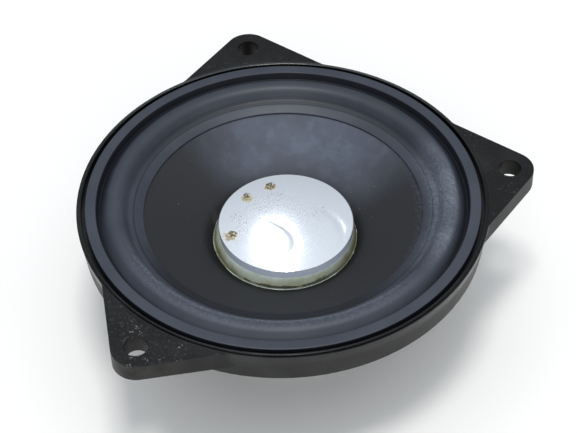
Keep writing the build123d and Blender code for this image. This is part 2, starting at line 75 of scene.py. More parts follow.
# ---- camera, light and floor --------------------------------------------------------------------
def aim(thing, position, right, up):
    """Puts a camera or lamp at a position, with its own X and Y along right and up."""
    back = right.cross(up)
    thing.matrix_world = Matrix.Translation(position) @ Matrix((right, up, back)).transposed().to_4x4()


def facing(position, target):
    """Right and up axes of a lamp at position that looks at target."""
    back = (position - target).normalized()
    right = Vector((0, 0, 1)).cross(back)
    right = right.normalized() if right.length > 1e-6 else Vector((1, 0, 0))
    return right, back.cross(right)


def from_angles(azimuth, elevation, distance):
    """A point in the camera's own terms: azimuth 0 looks along +Y."""
    a, e = radians(azimuth), radians(elevation)
    return distance * Vector((sin(a) * cos(e), -cos(a) * cos(e), sin(e)))


def add_camera():
    elevation, roll, distance = 46.06, radians(-1.52), 0.4362
    back = from_angles(CAMERA_AZIMUTH, elevation, 1)
    right = Vector((0, 0, 1)).cross(back).normalized()
    up = back.cross(right)
    aim_at = Vector((0, 0, EAR_PLANE)) + 1.3 * MM * right - 4.7 * MM * up
    data = bpy.data.cameras.new("camera")
    data.lens = 108.0
    data.sensor_width = 36.0
    data.clip_start = 0.01
    camera = bpy.data.objects.new("camera", data)
    bpy.context.scene.collection.objects.link(camera)
    rolled_right = cos(roll) * right + sin(roll) * up
    rolled_up = cos(roll) * up - sin(roll) * right
    aim(camera, aim_at + distance * back, rolled_right, rolled_up)
    bpy.context.scene.camera = camera


def add_softbox(name, azimuth, elevation, distance, size, power, colour=(1, 1, 1), shape="RECTANGLE"):
    """A flat lamp, size metres wide and high, at a direction from the driver counted like the camera's."""
    data = bpy.data.lights.new(name, "AREA")
    data.shape = shape
    data.size, data.size_y = size
    data.energy = power
    data.color = colour
    lamp = bpy.data.objects.new(name, data)
    bpy.context.scene.collection.objects.link(lamp)
    centre = Vector((0, 0, EAR_PLANE))
    position = centre + from_angles(azimuth, elevation, distance)
    aim(lamp, position, *facing(position, centre))


def add_studio():
    """Pale room that is brighter overhead, and four soft lamps."""
    world = bpy.data.worlds.new("studio")
    world.use_nodes = True
    nodes, links = world.node_tree.nodes, world.node_tree.links
    direction = nodes.new("ShaderNodeTexCoord")
    height = nodes.new("ShaderNodeSeparateXYZ")
    room = nodes.new("ShaderNodeMapRange")
    brightness = {"From Min": 0.60, "From Max": 0.84, "To Min": 0.46, "To Max": 0.98}
    for socket, value in brightness.items():
        room.inputs[socket].default_value = value
    links.new(direction.outputs["Generated"], height.inputs[0])
    links.new(height.outputs["Z"], room.inputs["Value"])
    links.new(room.outputs[0], nodes["Background"].inputs["Strength"])
    nodes["Background"].inputs["Color"].default_value = (0.85, 0.93, 1.0, 1)
    bpy.context.scene.world = world
    bpy.context.scene.view_settings.view_transform = "Standard"
    add_softbox("overhead", 36, 82, 1.1, (0.24, 0.24), 5.2)
    add_softbox("window", 218.6, 50.2, 1.5, (0.106, 0.24), 0.24, (0.97, 0.98, 1.0), "ELLIPSE")
    add_softbox("room_fill", 30, 36, 1.3, (0.7, 0.5), 2.6, (0.93, 0.96, 1.0))
    add_softbox("side_fill", 80, 20, 1.2, (0.6, 0.5), 1.2, (1.0, 0.95, 0.88))


def add_floor():
    mesh = bpy.data.meshes.new("floor")
    work = bmesh.new()
    bmesh.ops.create_grid(work, x_segments=1, y_segments=1, size=3.0)
    work.to_mesh(mesh)
    work.free()
    floor = bpy.data.objects.new("floor", mesh)
    bpy.context.scene.collection.objects.link(floor)
    paint = Finish("floor_paper", {"Base Color": (0.97, 0.935, 0.90, 1), "Roughness": 0.9})
    mesh.materials.append(paint.material)


# ---- shader arithmetic --------------------------------------------------------------------------
class Wire:
    """A number that runs through a node tree. Arithmetic on it adds Math nodes."""

    def __init__(self, finish, socket):
        self.finish, self.socket = finish, socket

    def maths(self, operation, *others, first=None):
        start = self if first is None else first
        numbers = dict(enumerate((start, *others)))
        return self.finish.node("ShaderNodeMath", {"operation": operation}, numbers)

    def __add__(self, other):
        return self.maths("ADD", other)

    def __mul__(self, other):
        return self.maths("MULTIPLY", other)

    def __sub__(self, other):
        return self.maths("SUBTRACT", other)

    def __rsub__(self, other):
        return self.maths("SUBTRACT", self, first=other)

    def __truediv__(self, other):
        return self.maths("DIVIDE", other)

    __radd__ = __add__

    def larger(self, other):
        return self.maths("MAXIMUM", other)

    def root(self):
        return self.maths("SQRT")

    def sine(self):
        return self.maths("SINE")

    def step(self, low, high):
        """Smooth step from 0 at low to 1 at high; low may be the larger one."""
        return self.finish.node("ShaderNodeMapRange", {"interpolation_type": "SMOOTHSTEP", "clamp": True},
                                {"Value": self, "From Min": low, "From Max": high})


class Finish:
    """A material in the making: one Principled shader and the nodes that feed it."""

    def __init__(self, name, constants):
        self.material = bpy.data.materials.new(name)
        self.material.use_nodes = True
        self.tree = self.material.node_tree
        self.shader = self.tree.nodes["Principled BSDF"]
        for socket, value in constants.items():
            self.shader.inputs[socket].default_value = value
        self.point = None

    def node(self, kind, settings=None, sockets=None, output=0):
        """Any node: its settings first, then the values or links of its sockets."""
        made = self.tree.nodes.new(kind)
        for key, value in (settings or {}).items():
            setattr(made, key, value)
        for key, value in (sockets or {}).items():
            self.feed(made.inputs[key], value)
        return Wire(self, made.outputs[output])

    def feed(self, socket, value):
        if isinstance(value, Wire):
            self.tree.links.new(value.socket, socket)
        else:
            socket.default_value = value

    def out(self, **links):
        """Feeds the shader's own sockets, such as base_color or roughness."""
        for key, value in links.items():
            self.feed(self.shader.inputs[key.replace("_", " ").title()], value)

    def position(self, axis=None):
        """The point on the piece, in metres, or one of its coordinates."""
        if self.point is None:
            self.point = self.node("ShaderNodeTexCoord", output="Object")
        if axis is None:
            return self.point
        return self.node("ShaderNodeSeparateXYZ", sockets={"Vector": self.point}, output=axis)

    def radius(self, centre=(0, 0)):
        """Distance from an axis parallel to Z."""
        x, y = self.position("X") - centre[0], self.position("Y") - centre[1]
        return (x * x + y * y).root()

    def towards(self, direction, low, high):
        """1 on the side that lies in a direction about Z, and 0 away from it: low and high are cosines."""
        reach = self.position("X") * cos(direction) + self.position("Y") * sin(direction)
        return (reach / self.radius().larger(1e-5)).step(low, high)

    def grain(self, size, detail=3.0, roughness=0.55, stretch=None):
        """Noise whose features are about size metres across."""
        where = self.position()
        if stretch:
            where = self.node("ShaderNodeMapping", {}, {"Vector": where, "Scale": stretch})
        look = {"Vector": where, "Scale": 1 / size, "Detail": detail, "Roughness": roughness}
        return self.node("ShaderNodeTexNoise", {"noise_dimensions": "3D"}, look, output="Fac")

    def cells(self, size):
        """Distance to the nearest of scattered points, in cell sizes."""
        return self.node("ShaderNodeTexVoronoi", {"feature": "F1"},
                         {"Vector": self.position(), "Scale": 1 / size}, output="Distance")

    def blend(self, share, first, second):
        """Mixes two colours."""
        made = self.tree.nodes.new("ShaderNodeMix")
        made.data_type = "RGBA"
        for socket, value in (("Factor_Float", share), ("A_Color", first), ("B_Color", second)):
            self.feed(next(s for s in made.inputs if s.identifier == socket), value)
        return Wire(self, next(s for s in made.outputs if s.identifier == "Result_Color"))

    def bump(self, height, depth):
        """Raises the surface by depth metres where height is 1."""
        relief = {"Height": height, "Distance": depth, "Strength": 1.0}
        self.out(normal=self.node("ShaderNodeBump", {}, relief, output="Normal"))


def rgb(red, green, blue):
    return (red, green, blue, 1)


# ---- finishes -----------------------------------------------------------------------------------
def moulded_black():
    """Glass-filled black plastic: satin ears with ground-in dust, a glossier rim whose coat lies on the far
    side only as a painted highlight, and walls near the ear tips painted paler and warmer than the tops as
    painted light.
    """
    paint = Finish("moulded_black", {"Specular IOR Level": 0.26, "Coat Roughness": 0.08})
    height, radius = paint.position("Z"), paint.radius()
    on_top = height.step(EAR_PLANE - 0.8 * MM, EAR_PLANE - 0.2 * MM)
    on_ears = radius.step(51.9 * MM, 52.5 * MM)
    patch = paint.grain(7 * MM, 2).step(0.50, 0.60)
    dirty = paint.towards(LISTENER_SIDE - radians(62), 0.5, 0.9) * 0.7 + 0.3
    specks = paint.cells(0.62 * MM).step(0.42, 0.16) * paint.grain(1.3 * MM, 2).step(0.46, 0.60)
    powder = paint.grain(0.8 * MM, 4, 0.7).step(0.52, 0.72) * 0.22
    dust = (patch * specks + powder) * on_ears * on_top * dirty
    near_tips = radius.step(53 * MM, 62 * MM)
    # Painted light: the walls near the ear tips are painted a paler, warmer grey than the tops, in patches.
    wall = (1 - on_top) * near_tips * paint.grain(5 * MM, 3).step(0.25, 0.65) * 0.7
    plain = paint.blend(paint.grain(11 * MM, 4, 0.6).step(0.42, 0.68),
                        rgb(0.002, 0.002, 0.0022), rgb(0.0085, 0.0085, 0.0088))
    dusty = paint.blend(dust, plain, rgb(0.17, 0.17, 0.18))
    on_lip = height.step(EAR_PLANE - 0.6 * MM, EAR_PLANE - 0.1 * MM)
    gloss = radius.step(52.4 * MM, 51.8 * MM) * height.step(EAR_PLANE - 4 * MM, EAR_PLANE - 1 * MM)
    # Painted highlight: the rim's coat is laid on the far side only, so its glint shows only there.
    paint.out(base_color=paint.blend(wall, dusty, rgb(0.034, 0.031, 0.026)),
              roughness=paint.grain(3 * MM, 3) * 0.10 + 0.42 + dust * 0.3 - gloss * 0.22,
              coat_weight=gloss * on_lip * paint.towards(LISTENER_SIDE + pi, 0.4, 0.9))
    paint.bump(paint.grain(0.35 * MM, 2) * (1 - gloss * 0.8) + dust * 2, 0.02 * MM)
    return paint.material


def surround_rubber():
    """Satin rubber: clean grooves darkened further with painted shade that fades on the lit near side,
    painted shade in the far channel, on the far side of the roll and on the lap, a far lap painted lighter
    as painted light, and dust on the roll that is heavy on one side.
    """
    paint = Finish("surround_rubber", {"Specular IOR Level": 0.42})
    radius, height = paint.radius(), paint.position("Z")
    heavy = paint.towards(HEAVY_SIDE, 0.80, 0.985)
    near = paint.towards(LISTENER_SIDE - radians(10), 0.35, 0.85)
    far = paint.towards(LISTENER_SIDE + pi, 0.0, 0.7)
    on_roll = radius.step(35.6 * MM, 39.4 * MM) * radius.step(44.6 * MM, 43.4 * MM)
    crest_edge = radius.step(39.6 * MM, 40.5 * MM) * radius.step(42.4 * MM, 41.2 * MM)
    mottle = paint.grain(0.75 * MM, 5, 0.72).step(0.38, 0.62)
    rough = paint.grain(0.75 * MM, 5, 0.75).step(0.44, 0.58)
    cloud = paint.grain(7 * MM, 3).step(0.32, 0.68)
    heavy_dust = on_roll * heavy * (mottle * 0.6 + 0.4) * (cloud * 0.5 + 0.5)
    crest_dust = crest_edge * near * (rough * 0.7 + 0.3) * 0.75
    dust = heavy_dust.larger(crest_dust).larger(on_roll * near * (mottle * 0.4 + 0.1) * 0.5)
    lit = paint.towards(LISTENER_SIDE - radians(15), 0.1, 0.8)
    # Painted shade: the groove between bead and roll is darkened, less so on the lit near side, and so is
    # the gap at the bead's outer edge.
    groove = (radius.step(44.0 * MM, 46.0 * MM) * (1 - lit * 0.8)).larger(radius.step(45.7 * MM, 46.3 * MM))
    groove = (groove * radius.step(47.35 * MM, 47.0 * MM)).larger(radius.step(49.7 * MM, 49.85 * MM))
    lap = radius.step(39.4 * MM, 37.9 * MM)
    # Painted shade: the channel at the roll's inner foot is darkened on the far side.
    channel_shade = radius.step(37.7 * MM, 38.3 * MM) * radius.step(40.3 * MM, 38.9 * MM) * far
    lap_shade = lap * (near * 0.8 + 0.15) * (1 - heavy * mottle * 0.7)
    # Painted shade: the lap is darker mostly on the near side, where the roll shades it, and the roll is
    # darker on the far side.
    shade = (groove * 0.92).larger(far * on_roll * 0.2)
    shade = shade.larger(channel_shade * 0.75).larger(lap_shade)
    plain = paint.blend(paint.grain(12 * MM, 3).step(0.3, 0.7),
                        rgb(0.029, 0.034, 0.048), rgb(0.040, 0.046, 0.063))
    # Painted light: the lap is lighter in patches on the far side, where it faces the light; the dust is
    # laid over it.
    far_lap_painted_light = paint.blend(far * lap * cloud * 0.15, plain, rgb(0.095, 0.105, 0.13))
    dust_over_painted_light = paint.blend(dust, far_lap_painted_light, rgb(0.150, 0.168, 0.205))
    paint.out(base_color=paint.blend(shade, dust_over_painted_light, rgb(0.0045, 0.005, 0.0085)),
              roughness=paint.grain(6 * MM, 3) * 0.12 + 0.40 + dust * 0.3 + lap * near * 0.2)
    paint.bump(paint.grain(0.5 * MM, 3) * 0.5 + mottle * dust * 1.6, 0.03 * MM)
    return paint.material


def cone_pulp():
    """Matte charcoal pulp with short fibres, pale blotchy dust with a painted sheen on the listener's far
    side, and a painted shade ring round the cap's foot.
    """
    paint = Finish("cone_pulp", {"Specular IOR Level": 0.32})
    # Painted sheen and dust: the pale blotches are dust, and their lighter, bluish tone on the far side
    # only stands in for the sheen of the overhead light.
    far = paint.towards(LISTENER_SIDE + pi - radians(12), 0.42, 1.0)
    far_dust_and_sheen = far * paint.radius().step(15 * MM, 27 * MM)
    small_blotch = paint.grain(3.2 * MM, 2, 0.5).step(0.45, 0.70)
    blotch = small_blotch * 0.16 + paint.grain(9 * MM, 2).step(0.3, 0.7) * 0.2
    fibre = paint.grain(0.7 * MM, 4, 0.7)
    fleck = paint.cells(2.6 * MM).step(0.10, 0.05) * paint.grain(6 * MM, 2).step(0.52, 0.60)
    plain = paint.blend(fibre, rgb(0.017, 0.017, 0.0195), rgb(0.026, 0.0265, 0.030))
    dusty = paint.blend(far_dust_and_sheen * (blotch + 0.5), plain, rgb(0.115, 0.132, 0.178))
    # Painted shade: the cone is darkened in a patchy ring round the cap's foot.
    cap_foot_shade = paint.radius().step(21.5 * MM, 19.0 * MM) * paint.grain(5 * MM, 2).step(0.25, 0.45)
    dusty = paint.blend(cap_foot_shade * 0.9, dusty, rgb(0.004, 0.004, 0.004))
    at_rim = paint.radius().step(33.0 * MM, 35.4 * MM)
    rim_dust = paint.towards(HEAVY_SIDE, 0.8, 0.985) * at_rim * fibre.step(0.45, 0.6)
    dusty = paint.blend(rim_dust * 0.4, dusty, rgb(0.085, 0.095, 0.12))
    paint.out(base_color=paint.blend(fleck * 0.5, dusty, rgb(0.16, 0.16, 0.17)),
              roughness=0.60 + fibre * 0.12 - far_dust_and_sheen * 0.06)
    paint.bump(fibre, 0.04 * MM)
    return paint.material


def silver_cap(centre):
    """Silvery lacquer with three corroded spots and clusters of pits; the skirt is painted pale blue and
    made less metallic as a painted reflection.
    """
    paint = Finish("silver_cap", {"Specular IOR Level": 0.6, "Coat Roughness": 0.05})
    uneven = paint.grain(1.3 * MM, 4, 0.7) - 0.5

    def spots(edge, *places):
        """1 inside roundish patches, 0 outside. A place is (right, away, size, raggedness) in mm."""
        patches = []
        for right, far, size, ragged in places:
            place = centre + (right * ACROSS + far * AWAY) * MM
            reach = paint.radius((place.x, place.y)) + uneven * (ragged * MM)
            patches.append(reach.step(size * MM, (size / edge) * MM))
        return reduce(Wire.larger, patches)

    corroded = spots(1.5, (-14.2, -4.6, 2.0, 2.6), (-9.9, 8.6, 1.8, 2.6), (-4.0, 12.6, 1.75, 2.8))
    core = spots(2, (-13.6, -4.0, 1.3, 2.5), (-9.9, 9.5, 1.2, 2.5), (-4.0, 13.0, 1.5, 2))
    scuffed = spots(1.5, (-6.0, 5.0, 3.4, 3), (8.6, 3.2, 3.2, 4), (-13.2, 2.4, 2.6, 3),
                    (-2.6, 8.8, 2.8, 3), (-11.6, -1.8, 2.6, 3))
    pits = paint.cells(0.55 * MM).step(0.42, 0.24) * paint.grain(1.2 * MM, 2).step(0.36, 0.52)
    rust = paint.grain(0.55 * MM, 3, 0.6).step(0.36, 0.56)
    skirt = paint.position("Z").step(EAR_PLANE + (CAP_RIM - 0.05) * MM, EAR_PLANE + (CAP_RIM - 0.45) * MM)
    sheen = paint.blend(paint.grain(14 * MM, 2), rgb(0.80, 0.825, 0.885), rgb(0.88, 0.90, 0.935))
    # Painted reflection: the skirt is painted pale blue and made less metallic, standing in for the bright
    # room it mirrors.
    sheen = paint.blend(skirt, sheen, rgb(0.74, 0.81, 0.94))
    marked = paint.blend(scuffed * pits * 0.6, sheen, rgb(0.30, 0.29, 0.29))
    halo = paint.blend(rust, rgb(0.56, 0.46, 0.21), rgb(0.20, 0.14, 0.045))
    haloed = paint.blend(corroded * 0.85, marked, halo)
    paint.out(base_color=paint.blend(core * rust, haloed, rgb(0.05, 0.038, 0.018)),
              roughness=paint.grain(10 * MM, 3) * 0.04 + 0.09 + corroded * 0.45 + scuffed * pits * 0.3,
              metallic=0.75 - corroded.larger(skirt) * 0.7, coat_weight=0.5 - corroded * 0.5)
    return paint.material


def aged_glue(centre, foot_radius):
    """Yellow-green glue: milky where it climbs the skirt, olive on the cone and painted lighter on the near
    side as painted light, a pale hem with a painted shade line inside it on the near side, and a chip.
    """
    paint = Finish("aged_glue", {"Specular IOR Level": 0.5, "Coat Weight": 0.3, "Coat Roughness": 0.15})
    uneven = (paint.grain(2.5 * MM, 3) - 0.5) * (0.5 * MM)
    out = paint.radius((centre.x, centre.y)) - foot_radius + 1.6 * MM + uneven
    thin = out.step(0.3 * MM, 1.25 * MM)
    hem = out.step(1.40 * MM, 1.50 * MM)
    # Painted shade: a thin dark line just inside the hem, laid on the near side only.
    gap_shade = out.step(1.16 * MM, 1.24 * MM) * (1 - hem)
    chip_place = centre + (5.6 * ACROSS - 19.3 * AWAY) * MM
    ragged = (paint.grain(0.8 * MM, 3) - 0.5) * MM
    chip = (paint.radius((chip_place.x, chip_place.y)) + ragged).step(0.75 * MM, 0.45 * MM)
    old = paint.grain(4 * MM, 3).step(0.42, 0.66) * 0.6
    near = paint.towards(LISTENER_SIDE, 0.45, 0.95)
    milky = paint.blend(old, rgb(0.50, 0.56, 0.50), rgb(0.38, 0.38, 0.23))
    # Painted light: the olive glue on the cone is painted lighter on the near side.
    olive = paint.blend(near, paint.blend(old, rgb(0.17, 0.17, 0.085), rgb(0.12, 0.10, 0.04)),
                        paint.blend(old, rgb(0.38, 0.41, 0.31), rgb(0.27, 0.26, 0.14)))
    body = paint.blend(thin, milky, olive)
    edged = paint.blend(hem * paint.grain(3 * MM, 2).step(0.42, 0.5), body, rgb(0.46, 0.51, 0.46))
    paint.out(base_color=paint.blend(chip.larger(gap_shade * near * 0.8), edged, rgb(0.025, 0.024, 0.018)),
              roughness=paint.grain(2 * MM, 3) * 0.3 + 0.22)
    paint.bump(paint.grain(1.5 * MM, 3) - chip * 2, 0.10 * MM)
    return paint.material


def black_cement():
    paint = Finish("black_cement", {"Specular IOR Level": 0.55})
    smear = paint.grain(3 * MM, 3)
    paint.out(base_color=paint.blend(smear, rgb(0.012, 0.012, 0.013), rgb(0.035, 0.034, 0.033)),
              roughness=smear * 0.3 + 0.2)
    paint.bump(smear, 0.08 * MM)
    return paint.material


def turned_steel():
    """Bright zinc plating over turned steel: fine rings about the axis, cloudy passivation."""
    paint = Finish("turned_steel", {"Metallic": 1.0})
    rings = (paint.radius() * (FULL_TURN / (0.28 * MM)) + paint.grain(4 * MM, 2) * 5).sine() * 0.5 + 0.5
    cloud = paint.grain(8 * MM, 4, 0.6).step(0.3, 0.75)
    paint.out(base_color=paint.blend(cloud, rgb(0.36, 0.36, 0.36), rgb(0.48, 0.49, 0.51)),
              roughness=rings * 0.10 + 0.24 + cloud * 0.08)
    paint.bump(rings * 0.6 + paint.grain(0.6 * MM, 3) * 0.4, 0.006 * MM)
    return paint.material


def ground_ferrite():
    """Sintered ferrite: dark grey, fine-pored, dull, with small pale chips."""
    paint = Finish("ground_ferrite", {"Specular IOR Level": 0.45})
    pores = paint.grain(0.5 * MM, 5, 0.7)
    chips = paint.cells(4 * MM).step(0.10, 0.03) * paint.grain(5 * MM, 2).step(0.52, 0.6)
    plain = paint.blend(pores, rgb(0.030, 0.031, 0.034), rgb(0.065, 0.066, 0.07))
    paint.out(base_color=paint.blend(chips, plain, rgb(0.20, 0.20, 0.20)), roughness=pores * 0.2 + 0.48)
    paint.bump(pores - chips * 2, 0.03 * MM)
    return paint.material


def drawn_aluminium():
    paint = Finish("drawn_aluminium", {"Metallic": 1.0})
    scuff = paint.grain(1.5 * MM, 4, stretch=(1, 1, 0.2))
    paint.out(base_color=paint.blend(scuff, rgb(0.66, 0.67, 0.69), rgb(0.80, 0.80, 0.81)),
              roughness=scuff * 0.2 + 0.18)
    paint.bump(scuff, 0.01 * MM)
    return paint.material


def enamelled_copper():
    """Close turns of enamelled wire, one 0.16 mm turn above another."""
    paint = Finish("enamelled_copper", {"Metallic": 0.9, "Coat Weight": 0.6, "Coat Roughness": 0.1})
    turns = (paint.position("Z") * (FULL_TURN / (0.16 * MM))).sine() * 0.5 + 0.5
    tone = paint.grain(2 * MM, 3)
    paint.out(base_color=paint.blend(tone, rgb(0.50, 0.17, 0.06), rgb(0.72, 0.30, 0.12)),
              roughness=0.36 - turns * 0.14)
    paint.bump(turns, 0.05 * MM)
    return paint.material


def kraft_paper():
    paint = Finish("kraft_paper", {"Specular IOR Level": 0.3})
    fibre = paint.grain(0.7 * MM, 5, 0.65, stretch=(1, 1, 0.4))
    paint.out(base_color=paint.blend(fibre, rgb(0.24, 0.145, 0.07), rgb(0.40, 0.27, 0.15)),
              roughness=fibre * 0.15 + 0.75)
    paint.bump(fibre, 0.03 * MM)
    return paint.material


def woven(paint, pitch):
    """Height of a plain weave in the XY plane, from 0 to 1, with threads a pitch apart."""
    warp = (paint.position("X") * (pi / pitch)).sine()
    weft = (paint.position("Y") * (pi / pitch)).sine()
    return warp * weft * 0.5 + 0.5


def spider_cotton():
    """Resin-stiffened open cotton weave."""
    paint = Finish("spider_cotton", {"Specular IOR Level": 0.35, "Sheen Weight": 0.2})
    weave = woven(paint, 0.45 * MM)
    resin = paint.grain(7 * MM, 4).step(0.35, 0.7)
    threads = paint.blend(weave, rgb(0.22, 0.15, 0.06), rgb(0.52, 0.39, 0.18))
    paint.out(base_color=paint.blend(resin * 0.4, threads, rgb(0.36, 0.23, 0.08)),
              roughness=0.75 - resin * 0.25)
    paint.bump(weave, 0.10 * MM)
    return paint.material


def phenolic_board():
    """Brown paper-phenolic with a faint layered grain."""
    paint = Finish("phenolic_board", {"Specular IOR Level": 0.5})
    layers = (paint.position("Z") * (FULL_TURN / (0.3 * MM))).sine() * 0.5 + 0.5
    fibre = paint.grain(0.8 * MM, 4, 0.6, stretch=(0.25, 1, 1))
    tone = fibre * 0.7 + layers * 0.3
    paint.out(base_color=paint.blend(tone, rgb(0.12, 0.05, 0.018), rgb(0.22, 0.10, 0.04)),
              roughness=fibre * 0.2 + 0.35)
    paint.bump(fibre, 0.015 * MM)
    return paint.material


def metal(name, dark, bright, rough, smooth, size, depth):
    """A small metal part: two tones in a cloudy pattern, and a roughness that follows it."""
    paint = Finish(name, {"Metallic": 1.0})
    cloud = paint.grain(size, 4, 0.6)
    paint.out(base_color=paint.blend(cloud, dark, bright),
              roughness=cloud * (rough - smooth) + smooth)
    paint.bump(cloud, depth)
    return paint.material


def braided_tinsel():
    """Tinned copper braid: two sets of strands that cross, drawn along the lead's own length."""
    paint = Finish("braided_tinsel", {"Metallic": 1.0})
    along = paint.node("ShaderNodeAttribute", {"attribute_name": "along"}, output="Fac")
    round_it = paint.node("ShaderNodeAttribute", {"attribute_name": "round"}, output="Fac")
    lay, strands = along * (FULL_TURN / (1.3 * MM)), round_it * (4 * FULL_TURN)
    weave = ((lay + strands).sine() * 0.5 + 0.5).larger((lay - strands).sine() * 0.5 + 0.5)
    paint.out(base_color=paint.blend(weave, rgb(0.22, 0.11, 0.05), rgb(0.72, 0.50, 0.36)),
              roughness=0.5 - weave * 0.2)
    paint.bump(weave, 0.08 * MM)
    return paint.material


# ---- outlines and turned pieces -----------------------------------------------------------------
def softened(points, radii, steps=6):
    """A polyline with each inner corner replaced by an arc of its own radius (0 keeps the corner)."""
    made = [Vector(points[0])]
    for before, here, after, radius in zip(points, points[1:], points[2:], radii):
        here = Vector(here)
        one, two = (Vector(before) - here), (Vector(after) - here)
        half = one.angle(two) / 2
        reach = min(radius / tan(half), 0.49 * one.length, 0.49 * two.length)
        if radius <= 0 or half > radians(89):
            made.append(here)
            continue
        radius = reach * tan(half)
        start, end = here + one.normalized() * reach, here + two.normalized() * reach
        middle = here + (one.normalized() + two.normalized()).normalized() * (radius / sin(half))
        a, b = start - middle, end - middle
        for n in range(steps + 1):
            share = n / steps
            made.append(middle + (a.lerp(b, share)).normalized() * radius if a.length else here)
    return made + [Vector(points[-1])]


def arc(centre, radius, start, end, steps):
    """Points on a circle between two angles in degrees."""
    angles = [radians(start + (end - start) * n / steps) for n in range(steps + 1)]
    return [Vector(centre) + radius * Vector((cos(a), sin(a))) for a in angles]


def spun(outline, steps, closed=True):
    """A bmesh of an outline of (radius, height above the ear plane), in mm, spun about the axis."""
    work = bmesh.new()
    points = [work.verts.new((p[0] * MM, 0, EAR_PLANE + p[1] * MM)) for p in outline]
    following = points[1:] + points[:1] if closed else points[1:]
    edges = [work.edges.new(pair) for pair in zip(points, following)]
    bmesh.ops.spin(work, geom=points + edges, cent=(0, 0, 0), axis=(0, 0, 1), dvec=(0, 0, 0),
                   angle=FULL_TURN, steps=steps, use_merge=True, use_normal_flip=False)
    bmesh.ops.remove_doubles(work, verts=work.verts, dist=1e-7)
    return work


def finished(name, work, crease=35):
    """Turns a bmesh into a smooth-shaded object with sharp edges above an angle."""
    bmesh.ops.recalc_face_normals(work, faces=work.faces)
    mesh = bpy.data.meshes.new(name)
    work.to_mesh(mesh)
    work.free()
    mesh.shade_smooth()
    mesh.set_sharp_from_angle(angle=radians(crease))
    piece = bpy.data.objects.new(name, mesh)
    bpy.context.scene.collection.objects.link(piece)
    return piece


def dress(piece, material, slot, *nodes):
    """Gives a new piece its finish and hides the CAD nodes it stands for; its slot is not used."""
    piece.data.materials.append(material)
    if nodes:
        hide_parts(*nodes)
    return piece


# ---- surround -----------------------------------------------------------------------------------
# Every outline here is in millimetres: radius, and height above the ear plane.
ROLL_CENTRE = (42.565, -2.235)
ROLL_R = 2.985
ROLL_T = 0.6
LANDING = -1.5                      # the basket's recess, on which the bead is glued
ROLL_ARC_STEPS = 34


def surround_outer():
    """Bead in the basket's recess, groove, and the outer half of the roll up to its crest."""
    front = arc(ROLL_CENTRE, ROLL_R, 90, 47, ROLL_ARC_STEPS)
    bead = softened([front[-1], (46.05, -1.15), (46.5, -1.44), (47.05, 0.6), (49.85, 0.6),
                     (49.85, LANDING)], (1.5, 0.12, 0.3, 0.3))
    under = [Vector(p) for p in ((45.85, LANDING), (45.85, -1.95), (45.1, -1.95))]
    back = arc(ROLL_CENTRE, ROLL_R - ROLL_T, 18, 90, ROLL_ARC_STEPS)
    return finished("surround_outer", spun(front + bead[1:] + under + back, TURN_STEPS))


def surround_inner():
    """Inner half of the roll, the crease at its foot, and the lap that is glued to the cone's edge."""
    front = arc(ROLL_CENTRE, ROLL_R, 90, 145, ROLL_ARC_STEPS)
    back = arc(ROLL_CENTRE, ROLL_R - ROLL_T, 150, 90, ROLL_ARC_STEPS)
    top = [front[-1], (39.09, -2.0), (38.0, -2.36), (37.82, -2.62), (37.62, -2.38), (35.4, -3.45)]
    underside = [(35.4, -3.9), (37.7, -2.56), (38.0, -2.95), (39.6, -2.6), back[0]]
    lap = softened(top + underside, (2.2, 0.1, 0.06, 0.15, 0.12, 0, 0.1, 0.2, 0.6))
    return finished("surround_inner", spun(front + lap[1:-1] + back, TURN_STEPS))


def add_surround():
    """One rubber ring in two meshes that part at the crest; the outer stays with the chassis."""
    rubber = surround_rubber()
    outer = dress(surround_outer(), rubber, "surround_rubber", "surround")
    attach(outer, "chassis")
    inner = dress(surround_inner(), rubber, "surround_rubber")
    crest, foot = ROLL_CENTRE[1] + ROLL_R - 0.1, -2.0
    EAR_PLANE + crest * MM
    EAR_PLANE + foot * MM
    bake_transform(inner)


# ---- spider -------------------------------------------------------------------------------------
SPIDER_REAR = -20.6         # rear face of the outer landing
SPIDER_T = 0.4
SPIDER_R = (13.4, 15.2, 28.4, 29.2, 31.0)       # bore, first wave, end of the last wave, landing, edge
HALF_WAVES = 6
HALF_WAVE_STEPS = 10
WAVE_HEIGHTS = (0.9, -0.405)
SPIDER_SECTORS = 12
SECTOR_STEPS = 12


def spider_face(lift):
    """Outline of one face of the corrugated ring, from its bore outwards."""
    bore, first, last, landing, edge = SPIDER_R
    level = SPIDER_REAR + WAVE_HEIGHTS[0] / 2 + lift
    steps = HALF_WAVES * HALF_WAVE_STEPS
    waves = []
    for n in range(steps + 1):
        half_wave, step = divmod(n, HALF_WAVE_STEPS)
        height = WAVE_HEIGHTS[half_wave % 2] * sin(pi * step / HALF_WAVE_STEPS)
        waves.append((first + (last - first) * n / steps, level + height))
    return [(bore, level)] + waves + [(landing, SPIDER_REAR + lift), (edge, SPIDER_REAR + lift)]


def add_spider():
    """The corrugated ring in equal sectors."""
    cloth = spider_cotton()
    width = FULL_TURN / SPIDER_SECTORS
    outline = spider_face(0) + spider_face(SPIDER_T)[::-1]
    for n in range(SPIDER_SECTORS):
        middle = n * width
        start = Vector((cos(middle - width / 2), sin(middle - width / 2), 0))
        work = bmesh.new()
        points = [start * r * MM + Vector((0, 0, EAR_PLANE + h * MM)) for r, h in outline]
        face = work.faces.new([work.verts.new(point) for point in points])
        bmesh.ops.spin(work, geom=[face], cent=(0, 0, 0), axis=(0, 0, 1), dvec=(0, 0, 0),
                       angle=width, steps=SECTOR_STEPS)
        sector = finished(f"spider_sector_{n + 1:02d}", work)
        dress(sector, cloth, "spider_fabric", "spider")
        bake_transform(sector)


